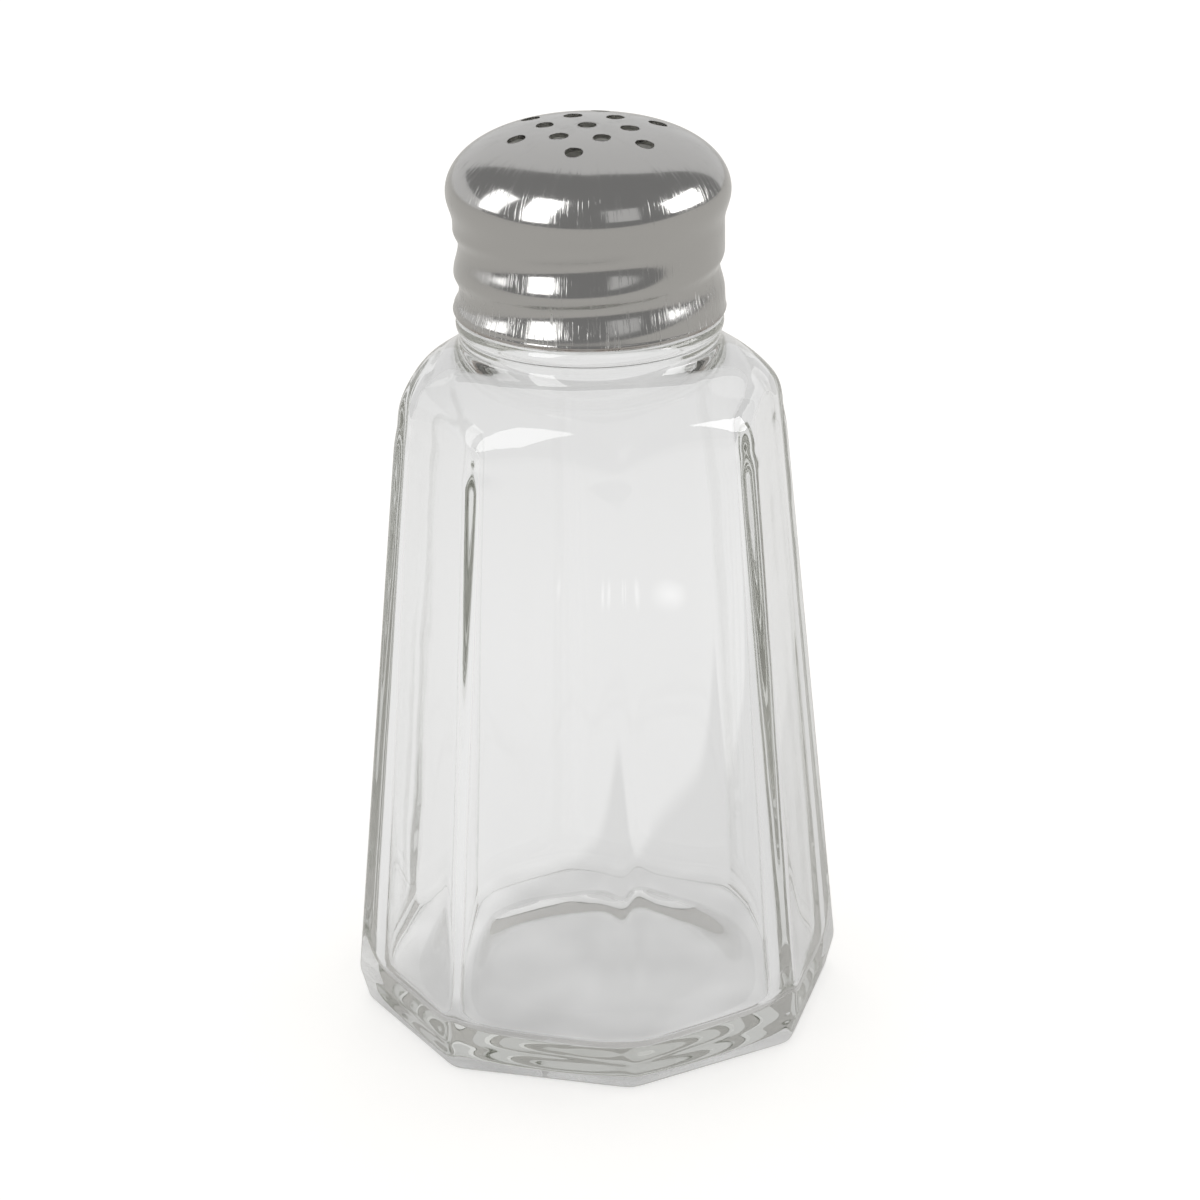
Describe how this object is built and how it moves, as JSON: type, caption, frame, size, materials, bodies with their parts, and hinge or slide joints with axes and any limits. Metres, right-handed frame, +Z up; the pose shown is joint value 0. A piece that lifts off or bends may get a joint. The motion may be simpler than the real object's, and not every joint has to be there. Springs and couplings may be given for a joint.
{
  "type": "salt shaker",
  "caption": "Panelled clear-glass salt shaker that widens to its base, with a perforated mushroom-shaped metal screw cap that lifts off the threaded neck.",
  "frame": {"origin": "middle of the base on the table", "axes": "+Z up along the shaker's axis; flat panels face +X, -X, +Y and -Y"},
  "size_m": [0.0512, 0.0512, 0.1016],
  "materials": {
    "glass": "clear soda-lime glass, smooth and fire-polished, with a faint grey-green tint where it is thickest",
    "chromed_metal": "bright plated sheet metal with fine handling scratches"
  },
  "bodies": {
    "jar": {"glass_jar": "glass"},
    "cap": {"screw_cap": "chromed_metal"}
  },
  "joints": [
    {"name": "cap_lift", "type": "slide", "parent": "jar", "child": "cap", "axis": [0, 0, 1], "range_m": [0, 0.03]}
  ]
}
